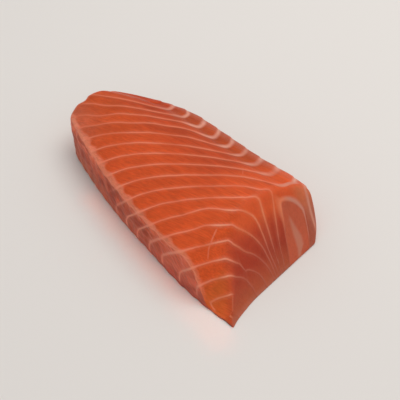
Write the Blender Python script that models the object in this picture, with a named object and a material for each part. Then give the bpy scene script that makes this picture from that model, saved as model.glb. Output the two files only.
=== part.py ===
"""A skinless block of salmon fillet: one piece of flesh, lying on its flat underside.

Every point of the flesh has three measures, in metres: along, from the far end to the near tip;
across, from the trimmed side to the back of the fish; and up, from the table.
The block is the space under its crown and inside four sides, each a short function of those measures.
"""

import bmesh
import bpy
import numpy as np

# Driving dimensions of the block
LENGTH = 0.1831
WIDTH = 0.0885
PEAK_HEIGHT = 0.0372
TRIM_HEIGHT = 0.0225

# The trimmed side, a gentle bow between the far corner and the near tip
TRIM_BOW = 0.0069
TRIM_BOW_MIDDLE = 0.1010
TRIM_BOW_HALF = 0.0804
TRIM_LEAN = 0.07

# The rounded back of the fish, seen from above: a soft corner at the far end, then a long flare to the shoulder
CORNER_FROM = -0.0082
CORNER_TO = 0.0625
CORNER_START = 0.0289
CORNER_POWER = 1.44
FLARE = 0.111
SHOULDER_SWELL = 0.0032
SHOULDER_AT = 0.1360
SHOULDER_SPREAD = 0.0200
BACK_TURN_AT = 0.1450
BACK_TURN = 11.4
BACK_TUCK = 0.0040
BACK_TUCK_HEIGHT = 0.0140

# The slanting knife cut at the near end, and its partner at the far end,
# which has one torn notch and sweeps away beyond it, towards the back
NEAR_SKEW = 0.227
TIP_REACH = 0.0053
TIP_FROM = 0.0300
NEAR_SLOPE_BACK = 0.50
NEAR_SLOPE_TIP = 0.98
NEAR_SLOPE_FROM = 0.0800
NEAR_SLOPE_SPAN = 0.0650
NEAR_EDGE_CLIMB = 1.05
NEAR_EDGE_SHARE = 16
FAR_FOOT = 0.0190
FAR_SKEW = 0.248
FAR_SLOPE = 0.477
NOTCH_ACROSS = 0.0244
NOTCH_SPREAD = 0.0033
NOTCH_DEPTH = 0.0038
FAR_SWEEP = 0.0049
FAR_SWEEP_SPAN = 0.0130

# The crown, and the slope by which it falls to the thin near tip
CREST_AT = 0.63
CREST_POWER = 2.57
CREST_DROP = 0.0110
FAR_FALL = 0.0076
FAR_FALL_LENGTH = 0.1033
TIP_FOOT_AT = 0.1630
TIP_STEEPNESS = 1.25
TIP_FOOT_BLEND = 0.0060
TIP_TILT = 0.35
TIP_TWIST = 0.45
TIP_TWIST_FROM = 0.1500
TIP_TWIST_SPAN = 0.0170
TIP_BLEND = 0.0080
VALLEY_AT = 0.79
VALLEY_SPREAD = 0.045
VALLEY_DEPTH = 0.0012

# Relief of the muscle flakes where the side was trimmed
FLAKE_PITCH = 0.0098
FLAKE_RELIEF = 0.00045
FLAKE_LEAN = 0.45

# Rounding where two surfaces meet: full on the upper edges, dying away where the flesh thins to nothing.
# The near cut's upper edge turns over most broadly at the nose, above the tip,
# and the far cut's at the corner beyond its notch.
EDGE_ROUND = 0.0030
NOSE_ROUND = 0.0060
NOSE_AT = 0.0250
NOSE_SPREAD = 0.0150
CORNER_ROUND = 0.0084
CORNER_ROUND_SPAN = 0.0060
BACK_ROUND = 0.0050
FOOT_ROUND = 0.0008
ROUND_FULL_HEIGHT = 0.0160
TOE_THICKNESS = 0.0012

# The grid that carries the surface
GRID = (68, 31, 10)
EDGE_CROWDING = 0.45
MAP_STEPS = 30
MAP_SHARE = 0.3
SETTLE_STEPS = 8
PROBE = 0.00005

FLESH_COLOUR = (0.53, 0.078, 0.025, 1.0)
FLESH_ROUGHNESS = 0.42


def bump(value, middle, spread):
    """A smooth bell of height one."""
    return np.exp(-(((value - middle) / spread) ** 2))


def soft_min(a, b, reach):
    """The smaller of two values, with the corner between them rounded over reach."""
    overlap = np.maximum(reach - np.abs(a - b), 0.0) / reach
    return np.minimum(a, b) - overlap * overlap * reach / 4


def soft_max(a, b, reach):
    return -soft_min(-a, -b, reach)


def flakes(along, up):
    """The low swelling of each muscle flake, from zero in its seam to one at its middle."""
    return np.abs(np.sin(np.pi * (along + FLAKE_LEAN * up) / FLAKE_PITCH))


def trim_side(along, up):
    """How far across the trimmed side stands."""
    bow = TRIM_BOW * ((along - TRIM_BOW_MIDDLE) / TRIM_BOW_HALF) ** 2
    return bow + TRIM_LEAN * up + FLAKE_RELIEF * (1 - flakes(along, up))


def back_outline(along):
    """How far across the back of the fish reaches, seen from above."""
    corner_end = WIDTH - SHOULDER_SWELL - FLARE * (SHOULDER_AT - CORNER_TO)
    share = np.clip((CORNER_TO - along) / (CORNER_TO - CORNER_FROM), 0.0, 1.0)
    corner = (1 - share**CORNER_POWER) ** (1 / CORNER_POWER)
    outline = CORNER_START + (corner_end - CORNER_START) * corner
    outline += FLARE * np.maximum(along - CORNER_TO, 0.0)
    outline += SHOULDER_SWELL * bump(along, SHOULDER_AT, SHOULDER_SPREAD)
    return outline - BACK_TURN * np.maximum(along - BACK_TURN_AT, 0.0) ** 2


def back_side(along, up):
    """The back stands upright, and tucks under a little towards the table."""
    tuck = np.clip(1 - up / BACK_TUCK_HEIGHT, 0.0, 1.0)
    return back_outline(along) - BACK_TUCK * tuck**2


def near_cut(across, up):
    """How far along the near cut stands: it slants back as it rises, most of all near the tip."""
    tip = np.maximum(TIP_FROM - across, 0.0) / (TIP_FROM - TRIM_BOW)
    foot = LENGTH - NEAR_SKEW * (across - TRIM_BOW) - TIP_REACH * (1 - tip**2)
    share = np.clip((NEAR_SLOPE_FROM - across) / NEAR_SLOPE_SPAN, 0.0, 1.0)
    return foot - (NEAR_SLOPE_BACK + (NEAR_SLOPE_TIP - NEAR_SLOPE_BACK) * share) * up


def near_edge(across):
    """The height of the near cut's upper edge, which climbs from the tip to the crown."""
    return np.clip(NEAR_EDGE_CLIMB * (across - TRIM_BOW), TOE_THICKNESS, PEAK_HEIGHT)


def far_cut(across, up):
    """How far along the far cut stands: it overhangs as it rises."""
    foot = FAR_FOOT - FAR_SKEW * (across - TRIM_BOW)
    beyond = np.maximum(across - NOTCH_ACROSS, 0.0)
    foot += FAR_SWEEP * (1 - bump(beyond, 0.0, FAR_SWEEP_SPAN))
    return foot - FAR_SLOPE * up + NOTCH_DEPTH * bump(across, NOTCH_ACROSS, NOTCH_SPREAD)


def crown(along, across):
    """The height of the upper surface."""
    left = trim_side(along, TRIM_HEIGHT)
    share = np.clip((across - left) / (back_outline(along) - left), 0.0, 1.0)
    peak = PEAK_HEIGHT - FAR_FALL * np.clip(1 - along / FAR_FALL_LENGTH, 0.0, 1.0) ** 2
    rise = np.sin(np.pi / 2 * np.minimum(share / CREST_AT, 1.0))
    drop = np.maximum((share - CREST_AT) / (1 - CREST_AT), 0.0) ** CREST_POWER
    height = TRIM_HEIGHT + (peak - TRIM_HEIGHT) * rise - CREST_DROP * drop
    height -= VALLEY_DEPTH * bump(share, VALLEY_AT, VALLEY_SPREAD)
    twist = np.clip((along - TIP_TWIST_FROM) / TIP_TWIST_SPAN, 0.0, 1.0)
    tip = TOE_THICKNESS + TIP_STEEPNESS * soft_max(TIP_FOOT_AT - along, 0.0, TIP_FOOT_BLEND)
    tip += (TIP_TILT + TIP_TWIST * twist) * np.maximum(across - left, 0.0)
    return soft_min(height, tip, TIP_BLEND)


def outside(points):
    """Zero on the surface of the block, positive outside it and negative inside."""
    along, across, up = points.T
    height = crown(along, across)
    thickness = np.clip(height / ROUND_FULL_HEIGHT, FOOT_ROUND / EDGE_ROUND, 1.0)
    edge = EDGE_ROUND * thickness
    slant = np.hypot(1, NEAR_SLOPE_TIP)
    skin = soft_max(up - height, across - back_side(along, up), BACK_ROUND * thickness)
    skin = soft_max(skin, trim_side(along, up) - across, edge)
    nose = edge + (NOSE_ROUND - EDGE_ROUND) * thickness * bump(across, NOSE_AT, NOSE_SPREAD)
    skin = soft_max(skin, (along - near_cut(across, up)) / slant, nose)
    beyond = np.clip((across - NOTCH_ACROSS) / CORNER_ROUND_SPAN, 0.0, 1.0)
    corner = edge + (CORNER_ROUND - EDGE_ROUND) * thickness * beyond
    skin = soft_max(skin, far_cut(across, up) - along, corner)
    return soft_max(skin, -up, FOOT_ROUND)


def settle(points):
    """Moves points on to the surface, each along the surface's own normal."""
    for _ in range(SETTLE_STEPS):
        slope = np.empty_like(points)
        for axis in range(3):
            step = np.zeros(3)
            step[axis] = PROBE
            slope[:, axis] = (outside(points + step) - outside(points - step)) / (2 * PROBE)
        gap = outside(points) / (slope * slope).sum(axis=1)
        points = points - gap[:, None] * slope
    return points


def crowded(share):
    """Moves the grid's lines towards both edges, where the surface turns."""
    return share - EDGE_CROWDING * np.sin(2 * np.pi * share) / (2 * np.pi)


def from_box(box):
    """Maps a unit box's surface to the block with sharp edges."""
    u, v, w = crowded(box.T)
    along = LENGTH * u
    across = WIDTH * v
    up = PEAK_HEIGHT * w
    for _ in range(MAP_STEPS):
        low, high = trim_side(along, up), back_side(along, up)
        across = low + (high - low) * v
        low, high = far_cut(across, up), near_cut(across, w * near_edge(across))
        along += MAP_SHARE * (low + (high - low) * u - along)
        near = u**NEAR_EDGE_SHARE
        up = w * (crown(along, across) * (1 - near) + near_edge(across) * near)
    return np.column_stack([along, across, up])


def unit_box():
    """A primitive cube whose edges are divided by the grid, with one corner at the origin."""
    mesh = bmesh.new()
    bmesh.ops.create_cube(mesh, size=1.0)
    bmesh.ops.translate(mesh, verts=mesh.verts, vec=(0.5, 0.5, 0.5))
    for axis, parts in enumerate(GRID):
        edges = [
            edge
            for edge in mesh.edges
            if abs(edge.verts[0].co[axis] - edge.verts[1].co[axis]) > 0.5
        ]
        bmesh.ops.subdivide_edges(mesh, edges=edges, cuts=parts - 1, use_grid_fill=True)
    return mesh


def flesh_material():
    material = bpy.data.materials.new("salmon_flesh")
    material.use_nodes = True
    shader = material.node_tree.nodes["Principled BSDF"]
    shader.inputs["Base Color"].default_value = FLESH_COLOUR
    shader.inputs["Roughness"].default_value = FLESH_ROUGHNESS
    shader.inputs["Metallic"].default_value = 0.0
    return material


def make_fillet(collection):
    """The block, centred over the origin, with its underside flat on the ground plane."""
    mesh = unit_box()
    box = np.array([vert.co for vert in mesh.verts], dtype=float)
    points = settle(from_box(box))
    points[box[:, 2] == 0, 2] = 0.0
    low, high = points.min(axis=0), points.max(axis=0)
    points -= [(low[0] + high[0]) / 2, (low[1] + high[1]) / 2, 0.0]
    for vert, point in zip(mesh.verts, points):
        vert.co = point
    bmesh.ops.recalc_face_normals(mesh, faces=mesh.faces)
    data = bpy.data.meshes.new("fillet")
    mesh.to_mesh(data)
    mesh.free()
    data.shade_smooth()
    data.materials.append(flesh_material())
    fillet = bpy.data.objects.new("fillet", data)
    collection.objects.link(fillet)
    return fillet


def main():
    for old in list(bpy.data.objects):
        bpy.data.objects.remove(old, do_unlink=True)
    collection = bpy.data.collections.new("salmon_fillet")
    bpy.context.scene.collection.children.link(collection)
    make_fillet(collection)


if __name__ == "__main__":
    main()
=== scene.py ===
# %% [markdown]
# # A block of salmon fillet
# This lesson dresses a plain CAD solid as a block of raw, skinless salmon.
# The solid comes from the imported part, and it alone decides the form and the size.
# A fillet is muscle laid down in flakes, and each flake is parted from the next by a thin sheet of fat.
# Almost all that the eye reads on it is where those sheets meet the knife's cuts.
# The lines could be painted on one face at a time, but then nothing would make them meet at the edges.
# So the sheets are described once, in the body of the fish, and every face of the block cuts through them.

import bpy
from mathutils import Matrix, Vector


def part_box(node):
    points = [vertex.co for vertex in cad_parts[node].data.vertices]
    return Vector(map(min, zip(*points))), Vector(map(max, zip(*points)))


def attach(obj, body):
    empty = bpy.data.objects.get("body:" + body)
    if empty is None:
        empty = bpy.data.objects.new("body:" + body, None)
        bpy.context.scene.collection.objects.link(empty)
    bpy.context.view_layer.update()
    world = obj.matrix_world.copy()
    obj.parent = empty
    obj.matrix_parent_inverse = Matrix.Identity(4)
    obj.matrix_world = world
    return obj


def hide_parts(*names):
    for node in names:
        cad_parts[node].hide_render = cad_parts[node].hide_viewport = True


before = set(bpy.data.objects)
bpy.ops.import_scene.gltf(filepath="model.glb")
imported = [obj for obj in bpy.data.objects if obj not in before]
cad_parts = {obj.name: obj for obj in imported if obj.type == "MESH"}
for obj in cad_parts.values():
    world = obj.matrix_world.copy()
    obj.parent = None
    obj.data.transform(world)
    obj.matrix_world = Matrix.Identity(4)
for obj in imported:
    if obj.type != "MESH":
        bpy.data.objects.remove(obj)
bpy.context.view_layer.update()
low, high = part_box("fillet")
print("CAD block in mm:", [round(1000 * side, 1) for side in high - low])

# %% [markdown]
# ## Curves for soft changes
# Flesh has no sharp limits: every colour, slope and line fades into the next one. A bell, a smooth step,
# a rounded minimum and a short table of pairs are enough to write that down, for all points at once.
# In every step the last two numbers say where a change begins and where it is complete.
# Those that are read along, across or up are millimetres.

# %% Modules and small helpers
import math

import bmesh
import bpy
import numpy as np
from mathutils import Vector, noise

MM = 0.001
SEED = 7
FAR_AWAY = 20


def bump(value, middle, spread):
    """A smooth bell of height one."""
    return np.exp(-(((value - middle) / spread) ** 2))


def step(value, start, end):
    """Goes smoothly from zero at start to one at end. The end may be the smaller of the two."""
    share = np.clip((value - start) / (end - start), 0.0, 1.0)
    return share * share * (3 - 2 * share)


def soft_min(a, b, reach):
    """The smaller of two values, with the corner between them rounded over reach."""
    overlap = np.maximum(reach - np.abs(a - b), 0.0) / reach
    return np.minimum(a, b) - overlap * overlap * reach / 4


def read(table, value):
    """A value read off a short table of pairs."""
    return np.interp(value, [pair[0] for pair in table], [pair[1] for pair in table])


print("a step from 0 to 10, read at 2, 5 and 8:", step(np.array([2, 5, 8]), 0, 10).round(2))

# %% [markdown]
# ## Where a point is in the fish
# Three measures in millimetres say where a point is: along the body towards the near tip,
# across it from the trimmed side to the back of the fish, and up from the worktop.
# They are the scene's own axes moved sideways, so that formulas can speak of the fish and not of the scene.

# %% Measures in the fish
ALONG_MIDDLE = 92.3
ACROSS_MIDDLE = 44.5


def measures(points):
    """Along, across and up, in millimetres, of points in the scene's metres."""
    along, across, up = (points / MM).T
    return along + ALONG_MIDDLE, across + ACROSS_MIDDLE, up


print("corners of the block, in the fish:", np.array(measures(np.array([low, high]))).T.round(1).tolist())

# %% [markdown]
# ## The surface to dress
# The CAD solid is made of flat triangles of about 2 mm, and wet flesh shows no facets.
# A remesh would be as fine, but it would forget where the knife's edges run. So a copy of the solid is divided
# twice, with the new points pushed out along the curve that their neighbours suggest, and then eased.
# That leaves faces of about 0.5 mm, which is fine enough to carry the low relief of the flakes.

# %% A smooth and finer copy of the solid
WELD = 0.001 * MM
ROUNDS = 2
BULGE = 1.0
EASINGS = 2
EASING = 0.5


def points_of(mesh):
    """The points of a mesh, one row for each."""
    flat = np.empty(len(mesh.vertices) * 3)
    mesh.vertices.foreach_get("co", flat)
    return flat.reshape(-1, 3)


def finer_copy(node, name):
    """A copy of a node's mesh that is welded, divided and eased, and stays above the worktop."""
    work = bmesh.new()
    work.from_mesh(node.data)
    bmesh.ops.remove_doubles(work, verts=work.verts, dist=WELD)
    for _ in range(ROUNDS):
        bmesh.ops.subdivide_edges(
            work, edges=work.edges, cuts=1, use_grid_fill=True, smooth=BULGE, smooth_falloff="LINEAR"
        )
    for _ in range(EASINGS):
        bmesh.ops.smooth_vert(
            work, verts=work.verts, factor=EASING, use_axis_x=True, use_axis_y=True, use_axis_z=True
        )
    for vert in work.verts:
        vert.co.z = max(vert.co.z, 0.0)
    mesh = bpy.data.meshes.new(name)
    work.to_mesh(mesh)
    work.free()
    mesh.materials.clear()
    mesh.shade_smooth()
    piece = bpy.data.objects.new(name, mesh)
    bpy.context.scene.collection.objects.link(piece)
    return piece


fillet = finer_copy(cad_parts["fillet"], "salmon_block")
places = points_of(fillet.data)
normals = np.empty(places.size)
fillet.data.vertex_normals.foreach_get("vector", normals)
normals = normals.reshape(-1, 3)
print("faces in the finer copy:", len(fillet.data.polygons))

# %% [markdown]
# ## The sheets of fat
# In a salmon the muscle is laid down in cones that sit one inside the next, one to a vertebra.
# On the top face of this block they show as long arcs, which climb slowly from the trimmed side,
# steepen towards the back, and turn back on themselves in a hook well inside it.
# The turn itself moves outwards towards the near tip and a little inwards at the far end.
# One function gives every point the number of its sheet. Between two whole numbers lies one flake of muscle,
# so a line is drawn wherever the number is whole, on whichever face the knife laid open.

# %% The number of the sheet at a point
# Where sheet 0 lies, how far apart the sheets are, and how far they lean towards the tip with height
SHEET_ZERO = 81.82
SHEET_PITCH = 11.68
SHEET_LEAN = 0.895
# The arc of a sheet across the body
ARC_SLOPE = -0.103
ARC_CURVE = 0.01848
ARC_EASE = -8.53e-05
# How the spacing changes across the body, and from which sheet on it widens towards the tip
FAN_SLOPE = 0.0155
FAN_CURVE = -0.000782
STRETCH_FROM = 3
TIP_STRETCH = 0.165
# How far across the sheets turn, how the turn flares out towards the tip, and where it moves in
TURN_AT = 56.8
TURN_FLARE = 0.148
FLARE_FROM = 70
TURN_IN = 3.2
TURN_IN_ALONG = (72, 45)
# How softly they turn, how far they rush forward just before it, and how fast they run back after it
TURN_REACH = 7.0
TURN_RUSH = 6.6
TURN_RUSH_REACH = 2.17
TURN_BACK = 0.34
# Where this fish's sheets wander from the rule: along, across, how far each way, and by how much
WANDERINGS = (
    (54, 43, 12, 8, -2.8),
    (24, 26, 8, 9, 3.6),
    (70, 54, 15, 8, -5.4),
    (131, 64, 40, 22, -9.0),
    (133, 26, 8, 8, -4.3),
    (142, 15, 13, 18, 3.0),
    (143, 57, 8, 8, 2.5),
    (164, 2, 8, 5, 3.0),
    (30, 58, 16, 9, 4.0),
)


def turn_across(along):
    """How far across the sheets turn back in their hooks."""
    return TURN_AT + TURN_FLARE * np.maximum(along - FLARE_FROM, 0) - TURN_IN * step(along, *TURN_IN_ALONG)


def body_sheet(along, across, up):
    """The sheet's number inside the body, before the near cut bends the sheets."""
    turn = turn_across(along)
    inside = soft_min(across, turn, TURN_REACH)
    rush = TURN_RUSH * np.exp(np.clip((inside - turn) / TURN_RUSH_REACH, -FAR_AWAY, 0))
    arc = ARC_SLOPE * inside + ARC_CURVE * inside**2 + ARC_EASE * inside**3 + rush
    arc -= TURN_BACK * (across - inside)
    for middle, sideways, length, width, shift in WANDERINGS:
        arc += shift * bump(along, middle, length) * bump(across, sideways, width)
    pitch = SHEET_PITCH + FAN_SLOPE * inside + FAN_CURVE * inside**2
    number = (along - SHEET_LEAN * up - SHEET_ZERO - arc) / pitch
    stretched = STRETCH_FROM + (number - STRETCH_FROM) * (1 - TIP_STRETCH)
    return np.where(number > STRETCH_FROM, stretched, number)


print("turn at 20 and at 150 along, in mm across:", turn_across(np.array([20, 150])).round(1))

# %% [markdown]
# ## The two cut faces
# One long slanting cut ends the block, and another trimmed its left side. Both were built in the CAD part from
# a few measures. The same measures stand here again, because the pattern has to know how far a point is from
# either cut. The distance could be read off the mesh, but a formula also answers between the vertices.

# %% Where the cuts stand
# The foot of the near cut: how far along and across its tip is, and how the cut slants across the fish
TIP_ALONG = 183.1
TRIM_BOW = 6.9
CUT_SLANT = 0.227
# The tip reaches out beyond the straight cut: by how much, and how far across that ends
TIP_REACH = 5.3
TIP_FROM = 30
# How much the cut leans back with height: at the back, how much more at the tip, from where, over what width
CUT_LEAN = 0.50
CUT_LEAN_MORE = 0.48
CUT_LEAN_FROM = 80
CUT_LEAN_OVER = 65
# The trimmed side bows in by TRIM_BOW at both ends: the middle and half the length of that bow, and its lean
TRIM_MIDDLE = 101
TRIM_HALF = 80.4
TRIM_LEAN = 0.07


def near_cut(across, up):
    """How far along the near cut stands, as in the CAD part."""
    tip = np.maximum(TIP_FROM - across, 0) / (TIP_FROM - TRIM_BOW)
    foot = TIP_ALONG - CUT_SLANT * (across - TRIM_BOW) - TIP_REACH * (1 - tip**2)
    share = np.clip((CUT_LEAN_FROM - across) / CUT_LEAN_OVER, 0, 1)
    return foot - (CUT_LEAN + CUT_LEAN_MORE * share) * up


def trim_plane(along, up):
    """How far across the trimmed side stands, as in the CAD part."""
    return TRIM_BOW * ((along - TRIM_MIDDLE) / TRIM_HALF) ** 2 + TRIM_LEAN * up


print("foot of the near cut at the tip and at the back:", near_cut(np.array([TRIM_BOW, 80]), 0).round(1))

# %% [markdown]
# ## The lines of the near cut
# On this face the same sheets are cut across the body, so they run down it and gather towards one place
# at its foot. The rule for the arcs was matched to the top face and misses these lines, so they get a table.
# Each row is one line: it starts on the crest, where the top face hands it over, and bows its way down to
# the foot. A point between two lines lies in the flake between them, so its number is found by halving the
# search range until a line goes through the point. One sheet was torn by the knife and sank,
# and the lines dip with it.

# %% Lines of the near cut
# Sheet number, across and up where the line leaves the crest, across at the foot, and how soon it bows over
CUT_LINES = (
    (8.0, 7.0, 0.5, 8.0, 1.0),
    (7.0, 10.9, 3.6, 14.0, 1.5),
    (6.0, 16.5, 8.4, 21.5, 3.0),
    (5.0, 20.0, 13.0, 29.8, 4.2),
    (4.0, 21.5, 18.5, 38.3, 2.8),
    (3.0, 27.8, 23.8, 44.9, 2.3),
    (2.0, 33.5, 29.6, 46.6, 3.6),
    (1.0, 40.7, 34.4, 48.5, 11.0),
    (0.0, 53.6, 35.7, 50.0, 0.5),
    (-1.0, 62.3, 36.0, 53.4, 1.0),
    (-1.5, 68.0, 34.4, 58.4, 1.0),
    (-1.4, 78.0, 31.5, 72.0, 1.0),
    (-1.0, 84.0, 28.0, 84.0, 1.0),
    (-0.4, 92.0, 18.0, 92.0, 1.0),
)
# The crest climbs steeply through the first rows only
CREST_ROWS = 8
SEARCHES = 30
# The torn sheet: how far it sinks at each place across, and between which heights
SUNK = ((28.2, 0.0), (29.8, 3.1), (31.0, 2.3), (33.1, 1.8), (37.0, 0.5), (42.0, 0.0))
SUNK_LOW = (4.0, 9.0)
SUNK_HIGH = (22.0, 16.0)


def crest(up):
    """How far across the crest of the near cut stands at this height."""
    return read([(row[2], row[1]) for row in CUT_LINES[:CREST_ROWS]], up)


def cut_column(row, column):
    """A value of the cut's lines, at a row that may lie between two of them."""
    return np.interp(row, range(len(CUT_LINES)), [line[column] for line in CUT_LINES])


def line_across(row, up):
    """Where a line of the cut has got to at this height."""
    share = np.clip(up / cut_column(row, 2), 0, 1)
    foot = cut_column(row, 3)
    return foot + (cut_column(row, 1) - foot) * share ** cut_column(row, 4)


def cut_sheet(across, up):
    """The sheet's number on the near cut."""
    up = up + read(SUNK, across) * step(up, *SUNK_LOW) * step(up, *SUNK_HIGH)
    low = np.zeros_like(across)
    high = np.full_like(across, len(CUT_LINES) - 1.0)
    for _ in range(SEARCHES):
        middle = (low + high) / 2
        short = line_across(middle, up) < across
        low = np.where(short, middle, low)
        high = np.where(short, high, middle)
    return cut_column(low, 0)


places_across = np.array([20.0, 40.0, 60.0])
print("sheets on the near cut, 10 mm up:", cut_sheet(places_across, np.full(3, 10.0)).round(2))

# %% [markdown]
# ## One number for every point
# The body's rule and the near cut's table are blended where the top face meets the cut, so every line crosses
# the crest without a break. Low on the trimmed side the lines curl forward to the tip again.
# How steeply the number changes along the surface tells how many millimetres one flake takes up there,
# and the material needs that to draw lines of an even width on faces that cut the sheets at different angles.

# %% The field of sheets
# How deep below a cut its lines reach, where the trimmed side ends, and how the lines cross the crest
TRIM_DEPTH = (2.2, 0.9)
TRIM_END = (176, 168)
CUT_DEPTH = (-4.0, 0.0)
CREST_BLEND = (-3.0, 3.0)
# The curl on the trimmed side: from which height, how softly and how strongly
CURL_FROM = 7.0
CURL_REACH = 4.0
CURL = 1.7
# How far to each side the steepness is measured, and the least that it may be
SLOPE_REACH = 0.2 * MM
LEAST_SLOPE = 0.02


def sheet_number(points):
    """The sheet's number at any point of the block."""
    along, across, up = measures(points)
    on_trim = step(across - trim_plane(along, up), *TRIM_DEPTH) * step(along, *TRIM_END)
    up_bent = up + CURL * on_trim * (CURL_FROM - soft_min(up, CURL_FROM, CURL_REACH))
    cut = step(along - near_cut(across, up), *CUT_DEPTH) * step(across - crest(up), *CREST_BLEND)
    return body_sheet(along, across, up_bent) * (1 - cut) + cut_sheet(across, up) * cut


def tangent_slope(field, points, normals):
    """The steepness of a field along the surface, per millimetre."""
    slope = np.empty_like(points)
    for axis in range(3):
        side = np.zeros(3)
        side[axis] = SLOPE_REACH
        slope[:, axis] = (field(points + side) - field(points - side)) / (2 * SLOPE_REACH / MM)
    slope -= (slope * normals).sum(axis=1, keepdims=True) * normals
    return np.maximum(np.linalg.norm(slope, axis=1), LEAST_SLOPE)


sheet = sheet_number(places)
slope = tangent_slope(sheet_number, places, normals)
print("sheets:", math.ceil(sheet.min()), "to", math.floor(sheet.max()))

# %% [markdown]
# ## Which face a point is on
# The knife left several kinds of surface, and each looks different: the top face that lay under the skin,
# the near cut across the body, the trimmed side, the back with its hooks, and the underside.
# The mesh could be split into five materials, but then each face would end in a hard edge.
# A weight from zero to one for each of them, soft at its edges, lets one material change from face to face.

# %% Weights of the faces
# How deep below the near cut its look begins, and how soft its crest is: sharp at the tip, softer higher up
NEAR_DEPTH = (-2.6, 0.0)
CREST_SOFT = 1.0
CREST_SOFTER = 3.5
CREST_SOFTER_UP = (3, 16)
# How squarely a point has to look to the trimmed side or down, and where the hooks begin beyond the turn
TRIM_FACING = (0.35, 0.75)
UNDER_FACING = (0.3, 0.8)
HOOK_ACROSS = (-2.0, 4.0)
along, across, up = measures(places)
crest_across = crest(up)
past_cut = along - near_cut(across, up)
crest_soft = CREST_SOFT + CREST_SOFTER * step(up, *CREST_SOFTER_UP)
near_face = step(past_cut, *NEAR_DEPTH) * step((across - crest_across) / crest_soft, -1.0, 1.0)
trim_face = step(-normals[:, 1], *TRIM_FACING)
under_face = step(-normals[:, 2], *UNDER_FACING)
turn_line = turn_across(along)
hook_face = step(across - turn_line, *HOOK_ACROSS) * (1 - near_face)
for title, weight in (("near", near_face), ("trim", trim_face), ("under", under_face), ("hook", hook_face)):
    print(f"{title}: {100 * weight.mean():.0f} % of the points")

# %% [markdown]
# ## The ridge where the top meets the trimmed side
# The knife left a rounded ridge there, which sinks a little in the middle and runs down to nothing at the tip.
# A marked edge of the mesh would be a hard line, so the ridge is a height for each place along the block,
# and every point knows how far above or below it is.

# %% Distance from the ridge
TRIM_HEIGHT = 22.5
RIDGE_DROP = 1.6
DROP_BEGINS = (40, 70)
DROP_ENDS = (150, 125)
# Near the tip the ridge follows a slope: its height at the end, how steep it is, where it ends, how softly
TIP_HEIGHT = 1.2
TIP_STEEPNESS = 1.25
TIP_FOOT_AT = 163
TIP_BLEND = 8.0
BELOW_RIDGE = (1.5, -1.0)
trim_height = TRIM_HEIGHT - RIDGE_DROP * step(along, *DROP_BEGINS) * step(along, *DROP_ENDS)
tip_slope = TIP_HEIGHT + TIP_STEEPNESS * np.maximum(TIP_FOOT_AT - along, 0)
ridge_height = soft_min(trim_height, tip_slope, TIP_BLEND)
ridge = across - trim_plane(along, up) + up - ridge_height
trim_face *= step(ridge, *BELOW_RIDGE)
print(f"ridge height: {ridge_height.min():.1f} to {ridge_height.max():.1f} mm")

# %% [markdown]
# ## Handing numbers to the material
# A material can't call these functions, but it can read a number or a colour that each vertex keeps, by name.
# A picture wrapped round the block would do the same, but it would blur where the unwrapping stretches.


# %% Attributes for the material
def keep(name, values):
    """Stores a number or a colour for each vertex, for the material to read."""
    kind, slot = ("FLOAT", "value") if values.ndim == 1 else ("FLOAT_COLOR", "color")
    attribute = fillet.data.attributes.new(name, kind, "POINT")
    attribute.data.foreach_set(slot, np.ascontiguousarray(values, dtype=np.float32).ravel())


keep("sheet", sheet)
keep("pitch", 1 / slope)
keep("on_trim", trim_face)
keep("on_cut", near_face)
keep("ridge", np.clip(ridge, -FAR_AWAY, FAR_AWAY))
print(f"middle width of a flake: {np.median(1 / slope):.1f} mm")

# %% [markdown]
# ## Lines that are not sheets
# Some pale lines follow no sheet: a small vein on the top face, the seam along the crest down to the tip,
# and two short marks. They could be thin strips of mesh, but those would stand up from the flesh.
# Each is given as a few points on its face. Every vertex stores how far to the left or right of the line
# it stands, counted in half widths, so that the material can draw the line where that number is near zero.

# %% Beside a broken line
STROKE_REACH = 2.6
NO_STROKE = 99.0


def beside(u, v, points, end_fade):
    """Signed distance beside a broken line, and a weight that is one along it and zero away from it."""
    best = np.full(u.shape, NO_STROKE)
    offset = np.full(u.shape, NO_STROKE)
    inside = np.zeros(u.shape)
    total = sum(math.dist(a, b) for a, b in zip(points, points[1:]))
    walked = 0.0
    for (u0, v0), (u1, v1) in zip(points, points[1:]):
        length = math.hypot(u1 - u0, v1 - v0)
        du, dv = (u1 - u0) / length, (v1 - v0) / length
        run = (u - u0) * du + (v - v0) * dv
        held = np.clip(run, 0, length)
        distance = np.hypot(u - u0 - held * du, v - v0 - held * dv)
        nearer = distance < best
        best = np.where(nearer, distance, best)
        offset = np.where(nearer, (v - v0) * du - (u - u0) * dv, offset)
        ends = step(walked + run, 0, end_fade) * step(total - walked - run, 0, end_fade)
        inside = np.where(nearer, ends, inside)
        walked += length
    return offset, inside * step(best, STROKE_REACH, STROKE_REACH / 2)


# %% Short pale lines
# Name, its points along and across, its half width and the fading at its ends in mm, and its strength
STROKES = (
    ("vein", ((142.0, 26.4), (144.4, 21.6), (147.2, 16.6), (151.6, 12.6)), 0.4, 3.0, 0.38),
    ("cross_mark", ((118.2, 61.2), (123.9, 56.6)), 0.4, 1.5, 0.3),
    ("crest_seam", ((167.8, 17.2), (171.2, 14.6), (175.2, 11.8), (179.0, 9.3), (181.7, 7.6)), 0.35, 3.0, 0.4),
    ("tip_mark", ((175.4, 9.2), (178.9, 9.9)), 0.4, 1.0, 0.8),
)
FAR_BESIDE = 9.0
stroke_offset = np.full(along.shape, FAR_BESIDE)
stroke_strength = np.zeros(along.shape)
for name, points, half_width, end_fade, strength in STROKES:
    offset, inside = beside(along, across, points, end_fade)
    inside *= (1 - trim_face) * (1 - under_face)
    stroke_offset = np.where(inside > stroke_strength, offset / half_width, stroke_offset)
    stroke_strength = np.maximum(stroke_strength, inside * strength)
    print(name, "reaches", int((inside > 0.5).sum()), "points")
keep("stroke_offset", stroke_offset)
keep("stroke_strength", stroke_strength)

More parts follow.
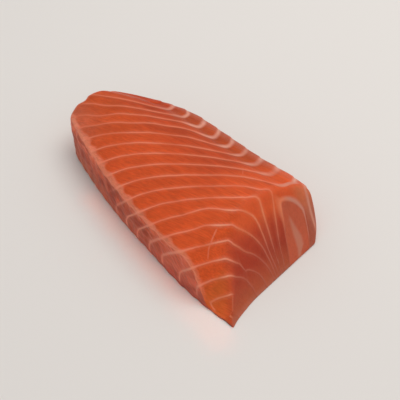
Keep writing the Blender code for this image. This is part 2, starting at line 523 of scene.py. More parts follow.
# %% [markdown]
# ## The arch of the back muscle
# Where the near cut meets the back, one sheet closes on itself as a tall arch. It could be one more broken
# line, but the flesh inside it has its own colour, so it is better to know inside from outside.
# The arch is the rim of a rounded shape whose peak leans over, steep on its left and easy on its right,
# so one formula serves both of its legs.

# %% Arch
# The peak's place across at each height, the width to its left and right, how high it stands, how square
ARCH_PEAK = ((0.0, 61.4), (1.0, 61.8), (10.0, 64.8), (20.0, 67.2), (27.0, 67.2), (36.0, 66.5))
ARCH_WIDE = (3.6, 13.7)
ARCH_TOP = 30.4
ARCH_SQUARE = (2.8, 1.7)
ARCH_POINT = 3.2
ARCH_FROM = (54, 57)
ARCH_FAR = 12


def arch_rim(points):
    """Zero on the arch, negative inside it."""
    _, across, up = measures(points)
    sideways = across - read(ARCH_PEAK, up)
    wide = np.where(sideways < 0, *ARCH_WIDE)
    square = np.where(sideways < 0, *ARCH_SQUARE)
    return (np.abs(sideways) / wide) ** square + (np.maximum(up, 0) / ARCH_TOP) ** ARCH_POINT - 1


rim = arch_rim(places)
arch_gap = np.clip(rim / tangent_slope(arch_rim, places, normals), -ARCH_FAR, ARCH_FAR)
arch_face = near_face * step(across, *ARCH_FROM)
keep("arch_gap", arch_gap)
print("points inside the arch:", int(((rim < 0) & (arch_face > 0.5)).sum()))

# %% [markdown]
# ## The core of the back muscle
# Inside the arch a streak of pale gristle shows where the muscle's core was cut. It is widest low down and
# thins out upwards. A middle line and a half width at each height describe it better than a row of dots would.

# %% Core streak
CORE_MIDDLE = ((0.0, 66.2), (2.0, 67.2), (4.8, 69.5), (8.5, 70.0), (13.5, 69.3), (20.0, 68.4))
CORE_HALF = ((0.0, 0.5), (2.0, 1.4), (5.0, 2.6), (8.5, 2.8), (13.5, 1.9), (20.0, 0.6), (24.0, -1.0))
CORE_DEPTH = -3
CORE_FAR = 4.0
core = read(CORE_HALF, up) - np.abs(across - read(CORE_MIDDLE, up))
core = np.where(past_cut > CORE_DEPTH, np.clip(core, -CORE_FAR, CORE_FAR), -CORE_FAR)
keep("core", core)
print("points inside the core streak:", int((core > 0).sum()))

# %% [markdown]
# ## Relief
# Flesh isn't flat. Each flake stands a little proud of the next, most of all in the hooks near the back,
# where it makes small steps; the trimmed side is rough where the knife tore along the fibres;
# and the whole surface rises and sinks by a tenth of a millimetre.
# A bump in the material would shade like this but leave the outline smooth.
# So it is real geometry: every vertex moves along its normal.

# %% Relief along the normals
FLAKE_STEP = 0.12
HOOK_STEP = 0.38
SAW_TURN = 0.86
TRIM_ROUGH = 0.30
TEAR_SIZE = (9, 9, 2.4)
SHRED_SIZE = (3.5, 3.5, 1.6)
SHRED_SHARE = 0.6
SWELL = 0.10
SWELL_SIZE = (14, 9, 9)
FLAT_FOOT = (0.3, 3.0)


def cloud(size, seed):
    """Smooth noise around zero, whose lumps have the given size in millimetres."""
    scale = np.array(size) * MM
    return np.array([noise.noise(Vector(point) + Vector((seed, 0, 0))) for point in places / scale])


share = sheet - np.floor(sheet)
saw = np.where(share > SAW_TURN, (1 - share) / (1 - SAW_TURN), share / SAW_TURN)
top_side = (1 - under_face) * (1 - trim_face)
rise = (saw - 0.5) * (FLAKE_STEP + (HOOK_STEP - FLAKE_STEP) * hook_face) * top_side
tear = cloud(TEAR_SIZE, SEED) + SHRED_SHARE * cloud(SHRED_SIZE, SEED + 1)
rise += TRIM_ROUGH * tear * trim_face
rise += SWELL * cloud(SWELL_SIZE, SEED + 2) * (1 - under_face)
rise *= step(up, *FLAT_FOOT)
moved = places + normals * rise[:, None] * MM
print(f"relief: {rise.min():.2f} to {rise.max():.2f} mm")

# %% [markdown]
# ## The foot of the block
# Soft flesh settles on the worktop. Along the foot of the near cut it spreads forward a little,
# and the foot of the trimmed side is tucked in along its far half and spreads near the tip.
# A soft body simulation could find this, but three measured moves sideways are quicker and easy to steer.
# At the end no point may leave the box of the CAD block.

# %% Settling at the foot
FOOT_FILL = 1.3
FOOT_TUCK = 0.7
FOOT_SPREAD = 0.9
trim_foot = step(across - trim_plane(along, up), 4, 2) * (1 - near_face) * MM
moved[:, 1] += FOOT_TUCK * trim_foot * step(up, 2.5, 0) * step(along, 140, 105)
moved[:, 1] -= FOOT_SPREAD * trim_foot * step(up, 6, 0) * step(along, 110, 150) * step(along, 184, 158)
moved[:, 0] += FOOT_FILL * MM * step(across, 8, 22) * step(past_cut, -6, 0) * step(up, 14, 3)
moved = np.clip(moved, low, high)
fillet.data.vertices.foreach_set("co", moved.ravel())
fillet.data.update()
print(f"longest move: {np.linalg.norm(moved - places, axis=1).max() / MM:.2f} mm")

# %% [markdown]
# ## The colour of the flesh, face by face
# Salmon flesh takes its orange-red from its food. It looks lightest where the fibres lie along the surface,
# deeper red where the knife cut across them, partly its own colour and partly painted shade, and dull pink
# where the trimmed side's thin film still covers it.
# Colours could change in the material alone, but the faces of the block are known here and not there.
# So the slow changes are mixed here, one colour for each vertex, and the fine pattern comes later.


# %% Mixing colours
def linear(code):
    """An sRGB hex colour as the linear values that shaders use."""
    parts = [int(code[i : i + 2], 16) / 255 for i in (1, 3, 5)]
    return tuple(c / 12.92 if c <= 0.04045 else ((c + 0.055) / 1.055) ** 2.4 for c in parts) + (1.0,)


def ladder(value, rungs):
    """One colour for each vertex: it changes with a value, from rung to rung."""
    colours = np.array([linear(code) for _, code in rungs])
    return np.column_stack([np.interp(value, [rung[0] for rung in rungs], channel) for channel in colours.T])


def tint(colours, new, weight):
    """Mixes one more colour into all vertices, each by its own weight."""
    new = np.array(linear(new)) if isinstance(new, str) else new
    weight = np.clip(weight, 0, 1)[:, None]
    return colours * (1 - weight) + new * weight


FLESH = "#D05123"
print("the flesh colour as linear values:", [round(value, 3) for value in linear(FLESH)[:3]])

# %% [markdown]
# ## The pale band and its dark patches
# Along the ridge the trimming knife laid open a band of pale fat. Its lower edge follows the ridge, and its
# upper edge is scalloped, because each flake keeps more of it next to a sheet. Below the ridge the film is
# torn away in patches. One wave for each flake with some noise on it gives the scallops,
# and cloudy noise that is cut off at a level gives the patches.

# %% Band and patches
SCALLOP = 2.6
SCALLOP_FAR = 2.4
SCALLOP_WAVE = 0.9
SCALLOP_NOISE = 2.0
SCALLOP_SIZE = (6, 6, 6)
PATCH_SIZE = (8, 8, 5)
PATCH_EDGE = (0.02, 0.30)
scallop = SCALLOP + SCALLOP_FAR * step(along, 120, 60) + SCALLOP_WAVE * np.cos(2 * np.pi * share)
scallop = scallop + SCALLOP_NOISE * cloud(SCALLOP_SIZE, SEED + 3)
band = (1 - trim_face) * step(ridge - scallop, 1.2, -1.2) * step(along, 160, 120)
patches = step(cloud(PATCH_SIZE, SEED + 6), *PATCH_EDGE) * step(up, 5, 10) * step(along, 135, 95)
ridge_strength = step(along, 12, 30) * step(along, 163, 154) * (1 - under_face)
keep("band_edge", np.clip(ridge - scallop, -FAR_AWAY, FAR_AWAY))
keep("ridge_strength", ridge_strength)
print("points in the pale band:", int((band > 0.5).sum()))

# %% [markdown]
# ## Slow colours of the flesh
# Each row below is one thin coat of colour, mixed over those above it: what it is, its colour, and the weight
# that says where it lies. The near cut and the trimmed side change from foot to crest, so they take their
# colour off a ladder of heights. The far end lies under a thin dull film.

# %% Coats of flesh colour
# Colours at some heights in mm: on the near cut, beside the arch's right leg, and on the trimmed side
# On the near cut the colour darkens from the crest down to about 12 mm: partly the flesh, partly painted shade
CUT_RUNGS = ((0.5, "#B4644C"), (3, "#AC5134"), (12, "#A13A24"), (22, "#B44227"), (29, "#D8592D"))
RIM_RUNGS = ((10, "#A9563F"), (18, "#B65F43"), (27, "#CD6A43"))
TRIM_RUNGS = ((1, "#B05A40"), (8, "#B25B44"), (15, "#BC5236"), (21, "#DB6A4A"))
film = step(normals[:, 2], 0.985, 0.7) * step(along, 48, 20) * step(across, 56, 34)
crest_slope = step(past_cut, -9, -1) * step(across - crest_across, -7, 3) * step(up, 30, 24)
beside_arch = near_face * step(rim, -0.05, 0.2) * step(across, 72, 80)
flesh_coats = (
    ("far end", "#C14C1D", step(along, 75, 5)),
    ("back", "#BA451D", step(across, 30, 50) * step(along, 135, 105)),
    ("hooks", "#B0451A", hook_face * step(along, 150, 120)),
    # painted shade: a deeper, darker red over the back near the far end
    ("far edge of the back", "#B43C10", step(along, 60, 40) * step(across, 44, 52)),
    ("film on the far end", "#CC8672", film),
    ("before the crest", "#D35323", step(past_cut, -32, -8)),
    ("tip", "#CB5B26", step(along, 155, 161)),
    ("slope to the crest", "#C04B29", crest_slope),
    ("near cut", ladder(up, CUT_RUNGS), near_face),
    ("inside the arch", "#C15B3E", near_face * step(rim, 0.15, -0.15)),
    ("beside the arch", ladder(up, RIM_RUNGS), beside_arch),
    ("pale band", "#E48464", 0.72 * band),
    ("trimmed side", ladder(up, TRIM_RUNGS), trim_face),
    ("trimmed side near the tip", "#D6684E", 0.6 * trim_face * step(along, 100, 140)),
    # painted shade: a dark brownish coat low on the trimmed side, from the middle towards the tip, at the
    # worktop
    ("trimmed foot", "#8E4A42", 0.6 * trim_face * step(along, 80, 130) * step(up, 10, 1)),
    ("dark patches", "#8E2E1C", 0.5 * patches * trim_face),
    ("ridge", "#E48462", 0.6 * ridge_strength * bump(ridge, 1.2, 1.5)),
    ("underside", "#B85A3C", under_face),
)
flesh = np.tile(linear(FLESH), (len(places), 1))
for title, colour, weight in flesh_coats:
    flesh = tint(flesh, colour, weight)
    print(f"{title}: {100 * weight.mean():.1f} % of the points")

# %% [markdown]
# ## One tone for each flake, with painted shade and light
# Neighbouring flakes differ a little, because each was cut at its own angle to the fibres. Just past a sheet
# the flake dips and painted shade darkens it, most near the hooks. Before the next sheet it rises, and
# painted light brightens it. Painted shade also darkens the lowest 2 mm, except on the near cut.
# Noise alone would change the tone in the middle of a flake, so each flake draws one tone of its own.

# %% Tones
TONE_SPREAD = 0.05
SHADE_PAST_LINE = 0.10
SHADE_FLAT = 0.5
SHADE_AT_TURN = 2.0
LIGHT_BEFORE_LINE = 0.05
FOOT_SHADE = 0.25
random = np.random.default_rng(SEED)
first = math.floor(sheet.min())
tones = random.uniform(-TONE_SPREAD, TONE_SPREAD, math.ceil(sheet.max()) - first + 1)
tone = tones[(np.floor(sheet) - first).astype(int)]
# Shares of a flake, from one sheet to the next
past_line = step(share, 0.0, 0.08) * step(share, 0.42, 0.12)
before_line = step(share, 0.55, 0.9)
near_turn = bump(across - turn_line, -3, 7) * (1 - near_face)
# Painted shade just past each sheet, strongest near the turn, and painted light before the next sheet
tone -= past_line * SHADE_PAST_LINE * (SHADE_FLAT + SHADE_AT_TURN * near_turn) * (1 - near_face)
tone += before_line * LIGHT_BEFORE_LINE
# Painted shade along the foot of the block, off the near cut
tone -= FOOT_SHADE * step(up, 2.0, 0.2) * (1 - near_face)
flesh[:, :3] *= (1 + tone)[:, None]
keep("flesh", flesh)
print(f"tones: {tone.min():.2f} to {tone.max():.2f}")

# %% [markdown]
# ## The colour of the fat
# The sheets aren't white. They are thin, and the flesh under them shines through, so they look like the flesh
# beside them with milk in it: duller at the far end, paler in the hooks, and dull low on the near cut.
# One pale colour for all of them would look drawn on, so the fat gets coats of its own.

# %% Coats of fat colour
FAT = "#E88060"
# The fat is duller low on the near cut, like the flesh there: partly its own colour, partly painted shade
CUT_FAT = ((4, "#B05A44"), (14, "#BC604A"), (28, "#E68058"))
# A painted highlight: the fat lines turn paler just before the crest, where wet fat would catch the light
glint = bump(past_cut, -4, 3) * (1 - near_face) * step(across, 12, 18) * step(across, 50, 40)
fat_coats = (
    ("far end", "#D87050", step(along, 75, 10)),
    ("back", "#DC7858", step(across, 30, 45) * step(along, 135, 120)),
    ("tip", "#DC7C58", step(along, 154, 162)),
    ("hooks", "#DA947E", hook_face),
    ("near cut", ladder(up, CUT_FAT), near_face),
    ("arch, right leg", "#CE8872", arch_face * step(across, 66, 73) * step(up, 3, 10)),
    ("trimmed side", "#E08A70", trim_face),
    ("ridge", "#F59474", 0.8 * bump(ridge, 0.5, 3.0) * ridge_strength),
    ("glint before the crest", "#EE987A", glint),
)
fat = np.tile(linear(FAT), (len(places), 1))
for title, colour, weight in fat_coats:
    fat = tint(fat, colour, weight)
    print(f"{title}: {100 * weight.mean():.1f} % of the points")
keep("fat", fat)

# %% [markdown]
# ## How wide each line is
# A sheet is about as thick as paper, but what shows is the fat that smeared beside it when the knife went
# through. So the lines are narrow on the top face, broad in the hooks, where the surface runs almost along
# the sheet, and broader again towards the back of the near cut. One width for all would look printed,
# so noise makes each line swell and thin as well.

# %% Widths
# Half widths in mm, on each kind of face
TOP_LINE = 0.55
HOOK_LINE = 2.1
CUT_LINE = 0.45
CUT_LINE_HIGH = 0.75
EDGE_LINE = 1.3
TRIM_LINE = 0.9
FLARE_LINE = 0.5
WIDTH_NOISE = 0.5
WIDTH_SIZE = (12, 12, 12)
wider = (
    ("hooks", (HOOK_LINE - TOP_LINE) * hook_face),
    ("near cut", (CUT_LINE + (CUT_LINE_HIGH - CUT_LINE) * step(up, 10, 28) - TOP_LINE) * near_face),
    ("near cut at the back", (EDGE_LINE - CUT_LINE_HIGH) * near_face * step(across, 74, 80)),
    ("trimmed side", (TRIM_LINE - TOP_LINE) * trim_face),
    ("just above the ridge", FLARE_LINE * (1 - trim_face) * step(ridge, 9, 1) * step(along, 160, 150)),
)
width = TOP_LINE
for title, more in wider:
    width = width + more
    print(f"{title}: up to {np.abs(more).max():.2f} mm wider or narrower")
width *= 1 + WIDTH_NOISE * cloud(WIDTH_SIZE, SEED + 4)
keep("line_width", width)

# %% [markdown]
# ## How strong each line is
# Some lines stop or grow faint: they end at the rim of the tip, at the far back and at the far end,
# most of the trimmed side hides them under its film, and in the hooks they come and go.
# Each row below says what share of the strength is lost, and where. The fibres, too, show less on the near
# cut, where they end, and more on the trimmed side, where they were torn.

# %% Strengths
STRENGTH = 0.9
STRENGTH_NOISE = 0.5
STRENGTH_SIZE = (18, 10, 10)
HOOK_LOSS = 0.2
HOOK_NOISE = 0.5
HOOK_SIZE = (7, 7, 7)
HOOK_SIDE_LOSS = 0.2
ARCH_LINE = 0.95
ARCH_LOW = 0.6
ARCH_HIGH = 0.4
ARCH_NARROW = 0.5
ARCH_BROAD = 1.9
FIBRES_LESS_ON_CUT = 0.6
FIBRES_MORE_ON_TRIM = 0.5
hook_loss = HOOK_LOSS + HOOK_NOISE * cloud(HOOK_SIZE, SEED + 7) + HOOK_SIDE_LOSS * step(normals[:, 2], 0.9, 0.5)
losses = (
    ("trimmed side, but not high and near", trim_face * (1 - step(up, 1.5, 4.0) * step(along, 65, 90))),
    ("past the last sheet of the top face", step(sheet, 6.4, 6.7)),
    ("rim of the tip", step(along - 0.35 * across, 164.8, 167.0)),
    ("far back", hook_face * step(along, 42, 36)),
    ("hooks", hook_face * hook_loss),
    ("far end", step(sheet, -10.5, -10.7)),
    ("tip of the near cut", near_face * step(sheet, 5.3, 5.8)),
    ("underside", 0.5 * under_face),
)
strength = STRENGTH + STRENGTH_NOISE * cloud(STRENGTH_SIZE, SEED + 5)
for title, loss in losses:
    strength *= 1 - loss
    print(f"{title}: {100 * loss.mean():.1f} % of the strength lost")
keep("line_strength", np.clip(strength, 0, 1))
keep("arch_strength", ARCH_LINE * arch_face * (ARCH_LOW + ARCH_HIGH * step(up, 10, 22)))
keep("arch_width", ARCH_NARROW + ARCH_BROAD * step(up, 12, 29) * step(rim, -0.8, 0.0))
keep("fibre_depth", 1 - FIBRES_LESS_ON_CUT * near_face + FIBRES_MORE_ON_TRIM * trim_face)

# %% [markdown]
# ## The flesh
# The material is raw salmon flesh, which is muscle with oil in it, cut with a long knife and still wet.
# It is a little see-through: light goes in, spreads and comes out redder. That gives the eye soft shadows and
# a glow at thin edges, which a plain colour could never give, so subsurface scattering is part of its look.
# The cut surface carries a film of water and oil, so it shines a little, but softly, over the fine fibres.
# One function adds a node with its settings and links, which keeps the recipe short enough to read.


# %% Adding nodes
def add_node(tree, kind, links=None, out=0, **settings):
    """Adds a node and returns one output. Each entry of links is a socket to follow or a value to hold."""
    node = tree.nodes.new(kind)
    for name, value in settings.items():
        setattr(node, name, value)
    for name, value in (links or {}).items():
        if isinstance(value, bpy.types.NodeSocket):
            tree.links.new(value, node.inputs[name])
        else:
            node.inputs[name].default_value = value
    return node.outputs[out]


material = bpy.data.materials.new("raw_salmon_flesh")
material.use_nodes = True
tree = material.node_tree
shader = tree.nodes["Principled BSDF"]
place = add_node(tree, "ShaderNodeTexCoord", out="Object")
COLOURS = ("flesh", "fat")
NUMBERS = (
    "sheet", "pitch", "line_width", "line_strength", "core", "arch_gap", "arch_strength", "arch_width",
    "stroke_offset", "stroke_strength", "on_trim", "on_cut", "ridge", "band_edge", "ridge_strength",
    "fibre_depth",
)
store = {}
for name in COLOURS + NUMBERS:
    out = "Color" if name in COLOURS else "Fac"
    store[name] = add_node(tree, "ShaderNodeAttribute", out=out, attribute_name=name)
print("attributes read by the material:", len(store))

# %% [markdown]
# ## Fibres and lumps
# The muscle fibres run slantwise from sheet to sheet and are about 0.25 mm thick. That is too fine for this
# picture, where a pixel is about 0.6 mm, so they are drawn about three times as coarse.
# Bundles of them show as strands about 2 mm wide, and slow lumps of about 10 mm make the colour uneven.
# Strands of geometry would be thousands of pieces, and noise that is stretched along the fibres reads the
# same. On the near cut the fibres are cut short, so the pattern there stands upright.

# %% Patterns
# Sizes of the lumps in mm along three axes, and the angles that the fibres are turned by
FIBRE = (10, 0.8, 0.8)
TRIM_FIBRE = (11, 0.9, 0.9)
CUT_FIBRE = (1.1, 1.1, 8)
STRAND = (14, 2.2, 2.2)
MOTTLE = (11, 7, 7)
GRAIN = (0.7, 0.7, 0.7)
NO_TURN = (0, 0, 0)
FIBRE_TURN = (0, 0, 22)
TRIM_FIBRE_TURN = (0, 39, 0)
STRAND_TURN = (0, 0, 16)
FINE = 2.0
PLAIN = 1.0
NOISE_ROUGHNESS = 0.6


def streaks(size, turn, detail):
    """A pattern of long lumps, by their sizes in mm along three axes and the turn of those axes."""
    angles = [math.radians(angle) for angle in turn]
    shrink = [1 / (side * MM) for side in size]
    turned = add_node(tree, "ShaderNodeMapping", {"Vector": place, "Rotation": angles}, vector_type="TEXTURE")
    scaled = add_node(tree, "ShaderNodeMapping", {"Vector": turned, "Scale": shrink})
    held = {"Vector": scaled, "Scale": 1.0, "Detail": detail, "Roughness": NOISE_ROUGHNESS}
    return add_node(tree, "ShaderNodeTexNoise", held)


top_fibres = streaks(FIBRE, FIBRE_TURN, FINE)
trim_fibres = streaks(TRIM_FIBRE, TRIM_FIBRE_TURN, FINE)
cut_fibres = streaks(CUT_FIBRE, NO_TURN, FINE)
fibres = add_node(tree, "ShaderNodeMix", {0: store["on_trim"], 2: top_fibres, 3: trim_fibres})
fibres = add_node(tree, "ShaderNodeMix", {0: store["on_cut"], 2: fibres, 3: cut_fibres})
strands = streaks(STRAND, STRAND_TURN, PLAIN)
mottle = streaks(MOTTLE, NO_TURN, FINE)
grain = streaks(GRAIN, NO_TURN, FINE)
print("nodes so far:", len(tree.nodes))

# %% [markdown]
# ## Distance from the nearest sheet
# The sheet's number is whole on a sheet, so what it lacks to a whole number tells how far the nearest sheet is.
# Times the width of a flake, that is a distance in millimetres. A ruled line would look drawn with a pen,
# so the mottled pattern first makes it shiver by up to 0.4 mm to each side.

# %% Distances
SHIVER = 0.8
shiver = add_node(tree, "ShaderNodeMath", {0: mottle, 1: SHIVER, 2: -SHIVER / 2}, operation="MULTIPLY_ADD")
shift = add_node(tree, "ShaderNodeMath", {0: shiver, 1: store["pitch"]}, operation="DIVIDE")
number = add_node(tree, "ShaderNodeMath", {0: store["sheet"], 1: shift}, operation="ADD")
half = add_node(tree, "ShaderNodeMath", {0: number, 1: 0.5}, operation="ADD")
part = add_node(tree, "ShaderNodeMath", {0: half}, operation="FRACT")
off = add_node(tree, "ShaderNodeMath", {0: part, 1: 0.5}, operation="SUBTRACT")
away = add_node(tree, "ShaderNodeMath", {0: off, 1: store["pitch"]}, operation="MULTIPLY")
gap = add_node(tree, "ShaderNodeMath", {0: away}, operation="ABSOLUTE")
arch_size = add_node(tree, "ShaderNodeMath", {0: store["arch_gap"]}, operation="ABSOLUTE")
stroke_size = add_node(tree, "ShaderNodeMath", {0: store["stroke_offset"]}, operation="ABSOLUTE")
print("nodes so far:", len(tree.nodes))

# %% [markdown]
# ## The two borders along the ridge
# The pale band has a brighter border on the ridge and a faint one where it ends above it.
# A straight border would look cut with scissors, so the mottled pattern pushes both about by up to 3 mm.

# %% Borders
BORDER_WANDER = 6.0
BORDERS = (("ridge", 0.55), ("band_edge", 0.2))
push = {0: mottle, 1: BORDER_WANDER, 2: -BORDER_WANDER / 2}
wander = add_node(tree, "ShaderNodeMath", push, operation="MULTIPLY_ADD")
borders = []
for name, share_kept in BORDERS:
    shifted = add_node(tree, "ShaderNodeMath", {0: store[name], 1: wander}, operation="ADD")
    size = add_node(tree, "ShaderNodeMath", {0: shifted}, operation="ABSOLUTE")
    most = add_node(tree, "ShaderNodeMath", {0: store["ridge_strength"], 1: share_kept}, operation="MULTIPLY")
    borders.append((size, most))
print("borders:", len(borders))

# %% [markdown]
# ## Drawing the lines
# Every pale line has the same profile: full strength up to a small distance, and then a smooth fall to
# nothing. Where lines cross, the strongest wins, because adding them up would leave bright knots.
# Each sheet also has a faint wide halo, where fat has soaked into the flesh, and the core streak fades in
# from its edge.

# %% Lines
# Distances in mm, and for the short lines in half widths
FULL = 0.1
SOFT_EDGE = 0.35
STROKE_FULL = 0.3
STROKE_END = 1.6
BORDER_END = 1.2
HALO_FULL = 0.5
HALO_END = 2.4
HALO_SHARE = 0.22
CORE_OUTSIDE = -0.9
CORE_INSIDE = 1.3
CORE_SHARE = 0.8


def strongest(kinds):
    """The strongest of some lines. Each has a distance, where it is full, where it ends, and its strength."""
    winner = 0.0
    for distance, full, end, most in kinds:
        profile = {"Value": distance, "From Min": full, "From Max": end, "To Min": most, "To Max": 0.0}
        line = add_node(tree, "ShaderNodeMapRange", profile, interpolation_type="SMOOTHSTEP")
        winner = add_node(tree, "ShaderNodeMath", {0: winner, 1: line}, operation="MAXIMUM")
    return winner


edge = add_node(tree, "ShaderNodeMath", {0: store["line_width"], 1: SOFT_EDGE}, operation="ADD")
line_kinds = [
    (gap, FULL, edge, store["line_strength"]),
    (arch_size, FULL, store["arch_width"], store["arch_strength"]),
    (stroke_size, STROKE_FULL, STROKE_END, store["stroke_strength"]),
]
line_kinds += [(size, FULL, BORDER_END, most) for size, most in borders]
lines = strongest(line_kinds)
halo_most = add_node(tree, "ShaderNodeMath", {0: store["line_strength"], 1: HALO_SHARE}, operation="MULTIPLY")
halo = strongest([(gap, HALO_FULL, HALO_END, halo_most)])
pale = add_node(tree, "ShaderNodeMath", {0: lines, 1: halo}, operation="MAXIMUM")
core_profile = {"Value": store["core"], "From Min": CORE_OUTSIDE, "From Max": CORE_INSIDE, "To Max": CORE_SHARE}
core_streak = add_node(tree, "ShaderNodeMapRange", core_profile, interpolation_type="SMOOTHSTEP")
print("kinds of line:", len(line_kinds))

# %% [markdown]
# ## Colour
# Fibres, strands and mottling make the flesh lighter and darker but hardly change its hue, so they multiply
# its colour. Mixing in a second hue would turn it patchy. The core streak and the fat have hues of their own,
# so they are mixed in.

# %% Base colour
CONTRASTS = ((fibres, 0.55), (strands, 0.30), (mottle, 0.30))
CORE_PALE = "#C27A62"
brightness = 1.0
for pattern, contrast in CONTRASTS:
    swing = add_node(tree, "ShaderNodeMath", {0: pattern, 1: 0.5}, operation="SUBTRACT")
    depth = add_node(tree, "ShaderNodeMath", {0: store["fibre_depth"], 1: contrast}, operation="MULTIPLY")
    lighter = add_node(tree, "ShaderNodeMath", {0: swing, 1: depth, 2: 1.0}, operation="MULTIPLY_ADD")
    brightness = add_node(tree, "ShaderNodeMath", {0: lighter, 1: brightness}, operation="MULTIPLY")
lit = add_node(tree, "ShaderNodeVectorMath", {0: store["flesh"], "Scale": brightness}, operation="SCALE")
core_mix = {0: core_streak, 6: lit, 7: linear(CORE_PALE)}
cored = add_node(tree, "ShaderNodeMix", core_mix, out=2, data_type="RGBA")
colour = add_node(tree, "ShaderNodeMix", {0: pale, 6: cored, 7: store["fat"]}, out=2, data_type="RGBA")
tree.links.new(colour, shader.inputs["Base Color"])
print("nodes so far:", len(tree.nodes))

# %% [markdown]
# ## Wetness
# Water has an IOR of 1.33 and fish oil one of about 1.48. The film is mostly water, so it gets 1.35.
# A wet film is nearly a mirror, but fibres finer than a pixel break this one up, so its roughness is middling,
# and a low specular level was matched to the quiet gloss of the real block.
# Red light travels some millimetres in flesh, and green and blue much less, so the scattering is redder.
# Fibres, fat lines and a fine grain stand up by about 0.1 mm. The mesh is too coarse for them, so a bump
# draws them.

# %% Gloss, depth and bump
WET_IOR = 1.35
SPECULAR_LEVEL = 0.22
SMOOTHEST = 0.36
ROUGHEST = 0.5
GRAIN_LOW = 0.3
GRAIN_HIGH = 0.7
SCATTER = 0.25
SCATTER_COLOURS = (1.0, 0.28, 0.12)
SCATTER_REACH = 2.5 * MM
FIBRE_HEIGHT = 0.12 * MM
LINE_HEIGHT = 0.16 * MM
GRAIN_HEIGHT = 0.08 * MM
BUMP_STRENGTH = 0.8
grain_range = {"Value": grain, "From Min": GRAIN_LOW, "From Max": GRAIN_HIGH}
gloss = add_node(tree, "ShaderNodeMapRange", {**grain_range, "To Min": SMOOTHEST, "To Max": ROUGHEST})
tree.links.new(gloss, shader.inputs["Roughness"])
shader.inputs["IOR"].default_value = WET_IOR
shader.inputs["Specular IOR Level"].default_value = SPECULAR_LEVEL
shader.inputs["Subsurface Weight"].default_value = SCATTER
shader.inputs["Subsurface Radius"].default_value = SCATTER_COLOURS
shader.inputs["Subsurface Scale"].default_value = SCATTER_REACH
height = add_node(tree, "ShaderNodeMath", {0: fibres, 1: FIBRE_HEIGHT}, operation="MULTIPLY")
for pattern, most in ((lines, LINE_HEIGHT), (grain, GRAIN_HEIGHT)):
    height = add_node(tree, "ShaderNodeMath", {0: pattern, 1: most, 2: height}, operation="MULTIPLY_ADD")
bumps = add_node(tree, "ShaderNodeBump", {"Strength": BUMP_STRENGTH, "Distance": 1.0, "Height": height})
tree.links.new(bumps, shader.inputs["Normal"])
print("nodes in the flesh:", len(tree.nodes))

# %% [markdown]
# ## The dressed block takes the solid's place
# The finished piece replaces the plain solid in every picture, rides on the part's one body,
# and its material fills the part's one slot.

# %% In place of the solid
fillet.data.materials.append(material)
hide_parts("fillet")
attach(fillet, "root")
print(fillet.name, "stands in for the node fillet, with", material.name)

# %% [markdown]
# ## Floor
# The block lies on a worktop of matt white laminate, which is paper soaked in resin and pressed against
# a dull steel plate. That gives the eye a pale even ground without a clear reflection. A roughness of 0.7 is
# typical of it. A board or a tray would have edges and grain, and this ground has neither.

# %% Worktop
FLOOR_HALF = 3.0
LAMINATE = "#E3DED8"
LAMINATE_ROUGHNESS = 0.7
corners = [(x * FLOOR_HALF, y * FLOOR_HALF, 0) for x, y in ((-1, -1), (1, -1), (1, 1), (-1, 1))]
floor_mesh = bpy.data.meshes.new("floor")
floor_mesh.from_pydata(corners, [], [(0, 1, 2, 3)])
floor = bpy.data.objects.new("floor", floor_mesh)
bpy.context.scene.collection.objects.link(floor)
worktop = bpy.data.materials.new("matt_white_laminate")
worktop.use_nodes = True
worktop_shader = worktop.node_tree.nodes["Principled BSDF"]
worktop_shader.inputs["Base Color"].default_value = linear(LAMINATE)
worktop_shader.inputs["Roughness"].default_value = LAMINATE_ROUGHNESS
floor_mesh.materials.append(worktop)
print("side of the floor in m:", 2 * FLOOR_HALF)

# %% [markdown]
# ## Light
# The light is that of a bright room: it comes from all sides, with a little more from above and behind,
# so the shadow at the block's foot is soft. An even background and one large soft lamp do that.
# Flesh in the light also throws a warm glow on the floor beside it. The glow comes out too weak by itself,
# so a dim and narrow strip lamp over the trimmed foot adds to it.

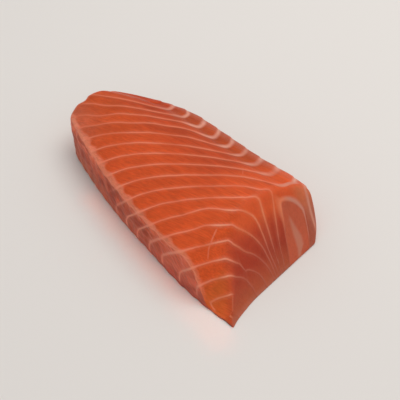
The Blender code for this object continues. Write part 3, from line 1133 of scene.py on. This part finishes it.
# %% Room and lamps
ROOM_COLOUR = "#F6F6F8"
ROOM_STRENGTH = 0.69
world = bpy.data.worlds.new("bright_room")
bpy.context.scene.world = world
world.use_nodes = True
background = world.node_tree.nodes["Background"]
background.inputs["Color"].default_value = linear(ROOM_COLOUR)
background.inputs["Strength"].default_value = ROOM_STRENGTH


def lamp(name, kind, place, aim, power, colour, **settings):
    """A lamp at a place, turned towards a point."""
    data = bpy.data.lights.new(name, kind)
    data.energy = power
    data.color = linear(colour)[:3]
    for setting, value in settings.items():
        setattr(data, setting, value)
    holder = bpy.data.objects.new(name, data)
    holder.location = place
    holder.rotation_euler = (Vector(aim) - Vector(place)).to_track_quat("-Z", "Y").to_euler()
    bpy.context.scene.collection.objects.link(holder)
    print(name, "shines with", power, "W")


lamp(
    "softbox", "AREA", place=(-0.06, 0.46, 1.0), aim=(0, 0, 0), power=5.05, colour="#FFFDFA",
    shape="SQUARE", size=0.8,
)
lamp(
    "warm_strip", "AREA", place=(0.028, -0.142, 0.11), aim=(0.028, -0.047, 0), power=0.0010, colour="#FF5026",
    shape="RECTANGLE", size=0.14, size_y=0.008, spread=math.radians(8),
)

# %% [markdown]
# ## Camera
# The camera looks down at the block from its tip and its trimmed side. It is placed by a turn, a climb and a
# distance from one point in the block, which is easier to match than three coordinates and three angles.
# A long lens keeps the sides nearly parallel, and the plain view transform keeps the hex colours as they are.

# %% Camera
VIEW_TURN = math.radians(54.37)
VIEW_CLIMB = math.radians(45)
VIEW_DISTANCE = 0.5154
AIM = (0.0153, -0.0052, 0.015)
LENS = 81.2
SENSOR = 36
camera_data = bpy.data.cameras.new("camera")
camera_data.lens = LENS
camera_data.sensor_width = SENSOR
camera = bpy.data.objects.new("camera", camera_data)
reach = VIEW_DISTANCE * math.cos(VIEW_CLIMB)
camera.location = (
    AIM[0] + reach * math.sin(VIEW_TURN),
    AIM[1] - reach * math.cos(VIEW_TURN),
    AIM[2] + VIEW_DISTANCE * math.sin(VIEW_CLIMB),
)
camera.rotation_euler = (math.pi / 2 - VIEW_CLIMB, 0, VIEW_TURN)
bpy.context.scene.collection.objects.link(camera)
bpy.context.scene.camera = camera
bpy.context.scene.view_settings.view_transform = "Standard"
print("camera at, in m:", [round(value, 3) for value in camera.location])
